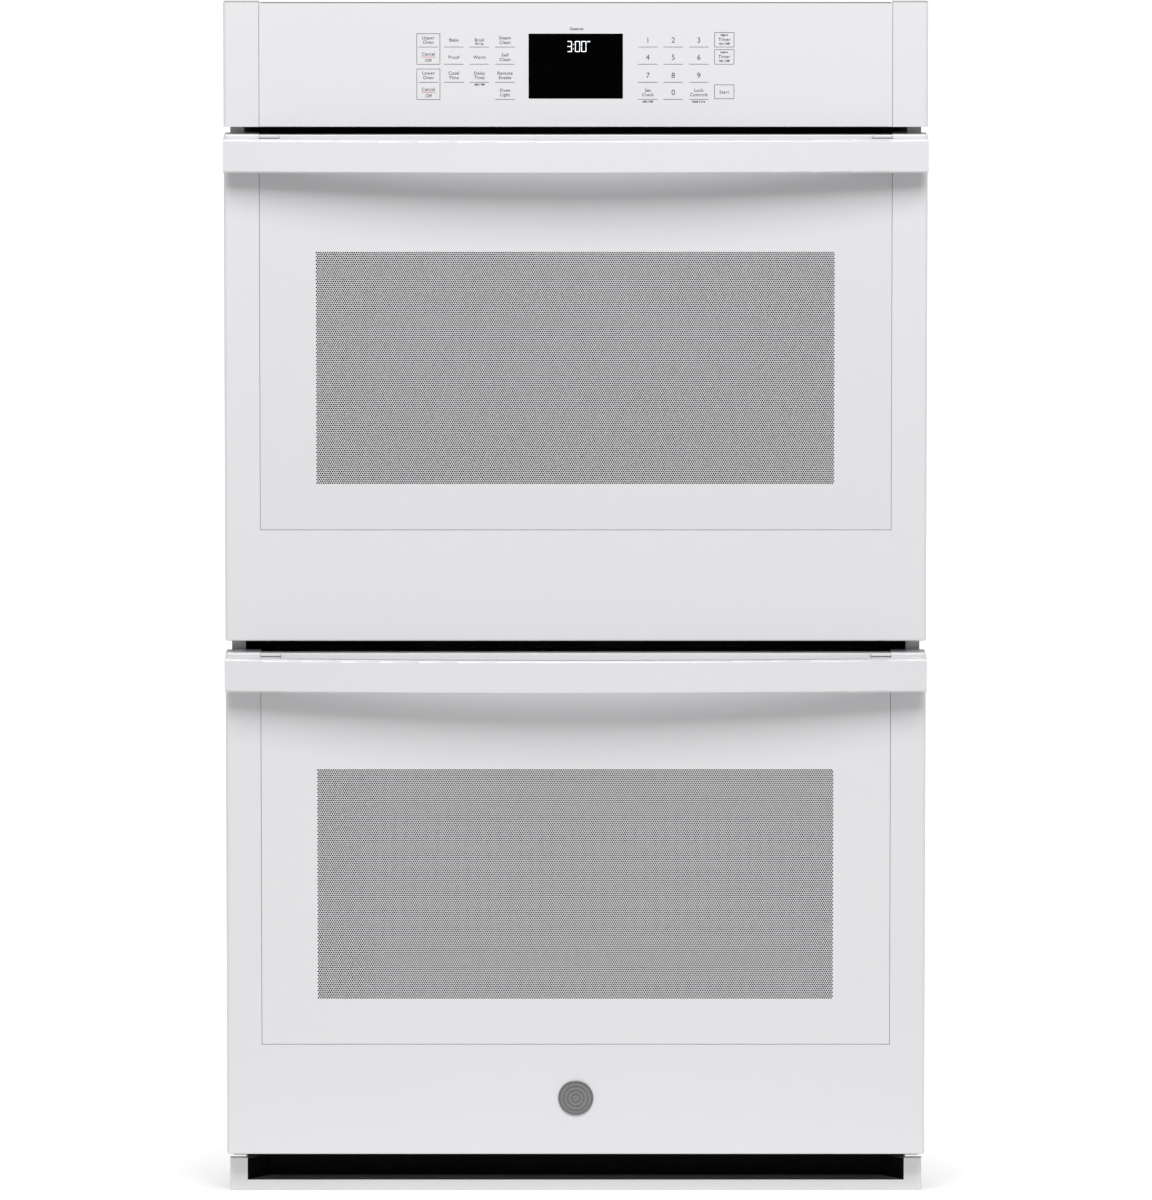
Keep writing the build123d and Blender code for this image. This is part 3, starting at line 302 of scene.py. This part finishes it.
WHITE = (0.72, 0.72, 0.735)
finishes = {
    "white_paint": enamel("white_enamel", WHITE),
    "white_glass": gloss_glass("white_glass", WHITE),
    "clear_glass": clear_glass(),
    "galvanised_steel": galvanised(),
    "grey_enamel": porcelain(),
    "mineral_wool": wool(),
    "gasket_braid": braid(),
    "heater_sheath": heater(),
    "chrome_wire": plated_wire(),
    "black_glass": dark_glass("black_glass"),
    "circuit_board": board(),
    "brushed_badge": turned_badge(),
    "black_steel": matt_black_paint("black_steel", (0.003, 0.003, 0.003)),
    "black_plastic": plain("black_plastic", (0.03, 0.03, 0.03), 0.5),
    "ceramic": plain("ceramic", (0.8, 0.78, 0.72), 0.5),
    "bright_steel": brushed("bright_steel", (0.62, 0.62, 0.63), (30.0, 900.0, 900.0)),
}
for subpart in frame["record"]["subparts"]:
    owner = NODES[subpart["node"]]
    owner.data.materials.clear()
    owner.data.materials.append(finishes[subpart["material_slot"]].data)


# ---------------------------------------------------------------- mesh helpers
def add_piece(name, mesh, body, material):
    """A finished mesh that rides on a CAD body."""
    made = bpy.data.objects.new(name, mesh)
    bpy.context.scene.collection.objects.link(made)
    mesh.materials.clear()
    mesh.materials.append(material.data)
    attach(made, body)
    return made


def from_boxes(name, boxes):
    """One mesh of many small blocks, each given by its two corners."""
    points, faces = [], []
    for low, high in boxes:
        first = len(points)
        for x in (low[0], high[0]):
            for y in (low[1], high[1]):
                for z in (low[2], high[2]):
                    points.append((x, y, z))
        for quad in ((0, 1, 3, 2), (4, 6, 7, 5), (0, 4, 5, 1), (2, 3, 7, 6), (0, 2, 6, 4), (1, 5, 7, 3)):
            faces.append([first + corner for corner in quad])
    mesh = bpy.data.meshes.new(name)
    mesh.from_pydata(points, [], faces)
    return mesh


# ---------------------------------------------------------------- printing on the control panel
panel_low, panel_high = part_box("control_panel_face")
display_low, display_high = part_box("display_window")
INK_THICKNESS = 0.05 * MM
PRINT_GAP = 0.06 * MM          # how far print stands proud of the face it is on
ink_plane = panel_low.y - PRINT_GAP
STROKE = 0.55 * MM
BODY_TEXT, SMALL_TEXT, DIGIT_TEXT = 4.9 * MM, 2.9 * MM, 8.2 * MM
BODY_WEIGHT, SMALL_WEIGHT = 0.05 * MM, 0.16 * MM
grey_ink = plain("grey_ink", (0.035, 0.035, 0.04), 0.6)
red_ink = plain("red_ink", (0.5, 0.03, 0.04), 0.6)


def below_top(drop):
    """The height of a place that many millimetres below the panel's top edge."""
    return panel_high.z - drop * MM


def block(x0, x1, z0, z1, y=ink_plane):
    """Opposite corners of a printed bar, as a very thin block."""
    return (Vector((x0, y, z0)), Vector((x1, y + INK_THICKNESS, z1)))


def rule(x, half, z):
    """A printed line centred on x."""
    return block(x - half, x + half, z - STROKE / 2, z + STROKE / 2)


def outline(x, half, top, bottom):
    """The four sides of a printed box."""
    edge = STROKE / 2
    sides = [block(x + side * half - edge, x + side * half + edge, bottom, top) for side in (-1, 1)]
    return sides + [rule(x, half, top), rule(x, half, bottom)]


def lettering(words):
    """Printed words as one thin mesh, the small print bolder.

    Each word is its text, its x, the height of its baseline and its size.
    """
    joined = bmesh.new()
    for text, x, z, size in words:
        curve = bpy.data.curves.new("word", "FONT")
        curve.body = text
        curve.size = size
        curve.align_x = "CENTER"
        curve.space_character = 1.08
        if size < BODY_TEXT:
            curve.offset = SMALL_WEIGHT
        elif size == BODY_TEXT:
            curve.offset = BODY_WEIGHT
        curve.extrude = INK_THICKNESS / 2
        holder = bpy.data.objects.new("word", curve)
        mesh = bpy.data.meshes.new_from_object(holder)
        mesh.transform(Matrix.Translation((x, ink_plane, z)) @ Matrix.Rotation(math.pi / 2, 4, "X"))
        joined.from_mesh(mesh)
        bpy.data.objects.remove(holder)
        bpy.data.curves.remove(curve)
        bpy.data.meshes.remove(mesh)
    result = bpy.data.meshes.new("lettering")
    joined.to_mesh(result)
    joined.free()
    return result


BOX_X, BOX_HALF = -157.9 * MM, 12.4 * MM
LEFT_KEYS = [-130.6 * MM, -103.2 * MM, -75.8 * MM]
RIGHT_KEYS = [77.3 * MM, 104.5 * MM, 131.9 * MM]
TIMER_X = 159.2 * MM
KEY_HALF = 10.4 * MM
ROW_LINES = [below_top(drop) for drop in (46.8, 65.2, 84.6, 102.9)]
# baselines above a key's line: a word alone, the first and the second of two, and a digit
SINGLE_RISE, FIRST_RISE, SECOND_RISE, DIGIT_RISE = 5.9 * MM, 8.2 * MM, 3.4 * MM, 4.7 * MM
OVER_LINE, UNDER_LINE = 2.6 * MM, 3.4 * MM   # small print above and below a line
MODE_KEYS = [
    [("Bake",), ("Broil",), ("Steam", "Clean")],
    [("Proof",), ("Warm",), ("Self", "Clean")],
    [("Cook", "Time"), ("Delay", "Time"), ("Remote", "Enable")],
    [None, None, ("Oven", "Light")],
]
NUMBER_KEYS = [
    [("1",), ("2",), ("3",)],
    [("4",), ("5",), ("6",)],
    [("7",), ("8",), ("9",)],
    [("Set", "Clock"), ("0",), ("Lock", "Controls")],
]
words, lines, red_lines = [], [], []
for columns, table in ((LEFT_KEYS, MODE_KEYS), (RIGHT_KEYS, NUMBER_KEYS)):
    for line_height, row in zip(ROW_LINES, table):
        for x, label in zip(columns, row):
            if label is None:
                continue
            lines.append(rule(x, KEY_HALF, line_height))
            if label[0].isdigit():
                words.append((label[0], x, line_height + DIGIT_RISE, DIGIT_TEXT))
            elif len(label) == 1:
                words.append((label[0], x, line_height + SINGLE_RISE, BODY_TEXT))
            else:
                words.append((label[0], x, line_height + FIRST_RISE, BODY_TEXT))
                words.append((label[1], x, line_height + SECOND_RISE, BODY_TEXT))
words += [
    ("Hi / Lo", LEFT_KEYS[1], ROW_LINES[0] + OVER_LINE, SMALL_TEXT),
    ("AM / PM", LEFT_KEYS[1], ROW_LINES[2] - UNDER_LINE, SMALL_TEXT),
    ("AM / PM", RIGHT_KEYS[0], ROW_LINES[3] - UNDER_LINE, SMALL_TEXT),
    ("Hold 3 Sec", RIGHT_KEYS[2], ROW_LINES[3] - UNDER_LINE, SMALL_TEXT),
    ("Connect", 0.9 * MM, below_top(28.6), 3.8 * MM),
]
# the two oven boxes, in millimetres below the panel's top: the first box's top, the step to the
# second, a box's height, the line between its keys and the red line through the lower key
BOX_TOP, BOX_STEP, BOX_TALL, BOX_MIDDLE, BOX_RED = 32.5, 37.8, 32.8, 14.3, 25.0
RED_HALF = 7.5 * MM
for number, which in enumerate(("Upper", "Lower")):
    start = BOX_TOP + number * BOX_STEP
    lines += outline(BOX_X, BOX_HALF, below_top(start), below_top(start + BOX_TALL))
    lines.append(rule(BOX_X, KEY_HALF, below_top(start + BOX_MIDDLE)))
    red_lines.append(rule(BOX_X, RED_HALF, below_top(start + BOX_RED)))
    for text, drop in ((which, 6.0), ("Oven", 10.8), ("Cancel", 23.4), ("Off", 30.3)):
        words.append((text, BOX_X, below_top(start + drop), BODY_TEXT))
TIMER_TALL = 15.6
START_TOP, START_BOTTOM = 87.3, 102.2
for which, start in (("Upper", 31.2), ("Lower", 49.6)):
    lines += outline(TIMER_X, KEY_HALF, below_top(start), below_top(start + TIMER_TALL))
    words.append((which, TIMER_X, below_top(start + 3.6), SMALL_TEXT))
    words.append(("Timer", TIMER_X, below_top(start + 9.0), BODY_TEXT))
    words.append(("On / Off", TIMER_X, below_top(start + 13.0), SMALL_TEXT))
lines += outline(TIMER_X, KEY_HALF, below_top(START_TOP), below_top(START_BOTTOM))
words.append(("Start", TIMER_X, below_top(96.6), BODY_TEXT))
add_piece("key_words", lettering(words), "chassis", grey_ink)
add_piece("key_lines", from_boxes("key_lines", lines), "chassis", grey_ink)
add_piece("key_red_lines", from_boxes("key_red_lines", red_lines), "chassis", red_ink)

# ---------------------------------------------------------------- clock digits
SEGMENTS = {"3": "abcdg", "0": "abcdef"}
DIGIT_WIDTH, DIGIT_HEIGHT, SEGMENT = 5.4 * MM, 11.6 * MM, 0.75 * MM
DIGIT_INSET, DIGIT_GAP = 41.0 * MM, 1.3 * MM
COLON_RISES = (3.0 * MM, 7.6 * MM)
MARK_INSET, MARK_SIZE, MARK_STEP = 3.7 * MM, 1.2 * MM, 1.7 * MM
lit = Material("clock_light", (0.9, 0.95, 1.0), 0.4)
lit.shader.inputs["Emission Color"].default_value = (0.92, 0.97, 1.0, 1)
lit.shader.inputs["Emission Strength"].default_value = 0.6
glow_plane = display_low.y - PRINT_GAP


def digit_bars(symbol, x, z):
    """The lit bars of one seven-segment digit with its lower left corner at x, z."""
    w, h, t = DIGIT_WIDTH, DIGIT_HEIGHT, SEGMENT
    places = {
        "a": (x + t, x + w - t, z + h - t, z + h),
        "b": (x + w - t, x + w, z + h / 2 + t / 3, z + h - t / 3),
        "c": (x + w - t, x + w, z + t / 3, z + h / 2 - t / 3),
        "d": (x + t, x + w - t, z, z + t),
        "e": (x, x + t, z + t / 3, z + h / 2 - t / 3),
        "f": (x, x + t, z + h / 2 + t / 3, z + h - t / 3),
        "g": (x + t, x + w - t, z + h / 2 - t / 2, z + h / 2 + t / 2),
    }
    return [block(*places[key], glow_plane) for key in SEGMENTS[symbol]]


digit_left = display_low.x + DIGIT_INSET
digit_base = below_top(52.0)
bars = digit_bars("3", digit_left, digit_base)
colon = digit_left + DIGIT_WIDTH + DIGIT_GAP
for rise in COLON_RISES:
    dot_base = digit_base + rise
    bars.append(block(colon, colon + SEGMENT, dot_base, dot_base + SEGMENT, glow_plane))
for place in range(2):
    bars += digit_bars("0", colon + SEGMENT + DIGIT_GAP + place * (DIGIT_WIDTH + DIGIT_GAP), digit_base)
mark = colon + SEGMENT + MARK_INSET + 2 * DIGIT_WIDTH
digit_top = digit_base + DIGIT_HEIGHT
for step in range(2):
    left = mark + step * MARK_STEP
    bars.append(block(left, left + MARK_SIZE, digit_top - MARK_SIZE, digit_top, glow_plane))
add_piece("clock_digits", from_boxes("clock_digits", bars), "chassis", lit)

# ---------------------------------------------------------------- printed dot screen in each door window
DOT_PITCH = 2.39 * MM
DOT_RADIUS = 0.97 * MM
DOT_SIDES = 6
WINDOW_WIDTH = 559.0 * MM
WINDOW_HEIGHT = 251.5 * MM
WINDOW_RISE = 49.5 * MM
dot_ink = dark_glass("dot_glass")


def dot_screen(name, centre_x, bottom, y):
    """Staggered rows of dark dots, cut off square at the window's edges."""
    row_gap = DOT_PITCH * math.sqrt(3) / 2
    angles = [math.tau * (k + 0.5) / DOT_SIDES for k in range(DOT_SIDES)]
    ring = [(DOT_RADIUS * math.cos(angle), DOT_RADIUS * math.sin(angle)) for angle in angles]
    points, faces = [], []
    for row in range(int(WINDOW_HEIGHT / row_gap)):
        z = bottom + (row + 0.5) * row_gap
        shift = 0.5 * (row % 2)
        for column in range(int(WINDOW_WIDTH / DOT_PITCH)):
            x = centre_x - WINDOW_WIDTH / 2 + (column + 0.5 + shift) * DOT_PITCH
            first = len(points)
            points += [(x + dx, y, z + dz) for dx, dz in ring]
            faces.append(list(range(first, first + DOT_SIDES)))
    mesh = bpy.data.meshes.new(name)
    mesh.from_pydata(points, [], faces)
    return mesh


for oven in OVENS:
    glass_low, glass_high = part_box(f"{oven}_door_glass")
    screen = dot_screen(f"{oven}_dots", (glass_low.x + glass_high.x) / 2,
                        glass_low.z + WINDOW_RISE, glass_low.y - PRINT_GAP)
    add_piece(f"{oven}_window_dots", screen, f"{oven}_door", dot_ink)

# ---------------------------------------------------------------- floor, light and camera
glowing_floor = plain("studio_floor", (0.68, 0.68, 0.68), 0.9)
glowing_floor.shader.inputs["Specular IOR Level"].default_value = 0.0
# painted light: the floor glows, barely in front of the oven and strongly behind it, so the backdrop
# reads white while little light bounces up onto the oven's front
glowing_floor.shader.inputs["Emission Color"].default_value = (1, 1, 1, 1)
axes = glowing_floor.node("SeparateXYZ")
glowing_floor.link(glowing_floor.place, axes.inputs["Vector"])
glowing_floor.link(glowing_floor.ramp(axes.outputs["Y"], -0.9, 0.4, 0.02, 0.88), glowing_floor.shader.inputs["Emission Strength"])
floor_mesh = bpy.data.meshes.new("floor")
EXTENT = 60.0
FLOOR_DROP = 1 * MM
corners = [(x * EXTENT, y * EXTENT, -FLOOR_DROP) for x, y in ((-1, -1), (1, -1), (1, 1), (-1, 1))]
floor_mesh.from_pydata(corners, [], [(0, 1, 2, 3)])
floor_mesh.materials.append(glowing_floor.data)
floor = bpy.data.objects.new("floor", floor_mesh)
bpy.context.scene.collection.objects.link(floor)

world = bpy.data.worlds.new("studio")
bpy.context.scene.world = world
world.use_nodes = True
world.node_tree.nodes["Background"].inputs["Color"].default_value = (1, 1, 1, 1)
world.node_tree.nodes["Background"].inputs["Strength"].default_value = 0.33


def area_light(name, place, target, size, power):
    """A soft rectangular light aimed at a point."""
    data = bpy.data.lights.new(name, "AREA")
    data.shape = "RECTANGLE"
    data.size, data.size_y = size
    data.energy = power
    made = bpy.data.objects.new(name, data)
    bpy.context.scene.collection.objects.link(made)
    made.location = place
    made.rotation_mode = "QUATERNION"
    made.rotation_quaternion = (Vector(target) - Vector(place)).to_track_quat("-Z", "Y")


LIGHT_PLACE, LIGHT_TARGET = (0.1, -3.6, 4.4), (0, -0.3, 0.9)
area_light("overhead", LIGHT_PLACE, LIGHT_TARGET, size=(4.2, 2.6), power=250)

bpy.context.scene.view_settings.view_transform = "Standard"
CAMERA_DISTANCE = 11.0
CAMERA_ELEVATION = math.radians(6.0)
FRAME_HEIGHT = 1.2930
door_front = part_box("upper_door_outer_panel")[0].y
aim = Vector((0.0003, door_front, cad_high.z / 2 + 0.002))
camera_data = bpy.data.cameras.new("camera")
camera = bpy.data.objects.new("camera", camera_data)
bpy.context.scene.collection.objects.link(camera)
bpy.context.scene.camera = camera
camera_data.sensor_width = 36.0
camera_data.lens = camera_data.sensor_width * CAMERA_DISTANCE / FRAME_HEIGHT
back = Vector((0, -math.cos(CAMERA_ELEVATION), math.sin(CAMERA_ELEVATION)))
camera.location = aim + back * CAMERA_DISTANCE
camera.rotation_mode = "QUATERNION"
camera.rotation_quaternion = (-back).to_track_quat("-Z", "Y")
camera_data.clip_end = 200.0
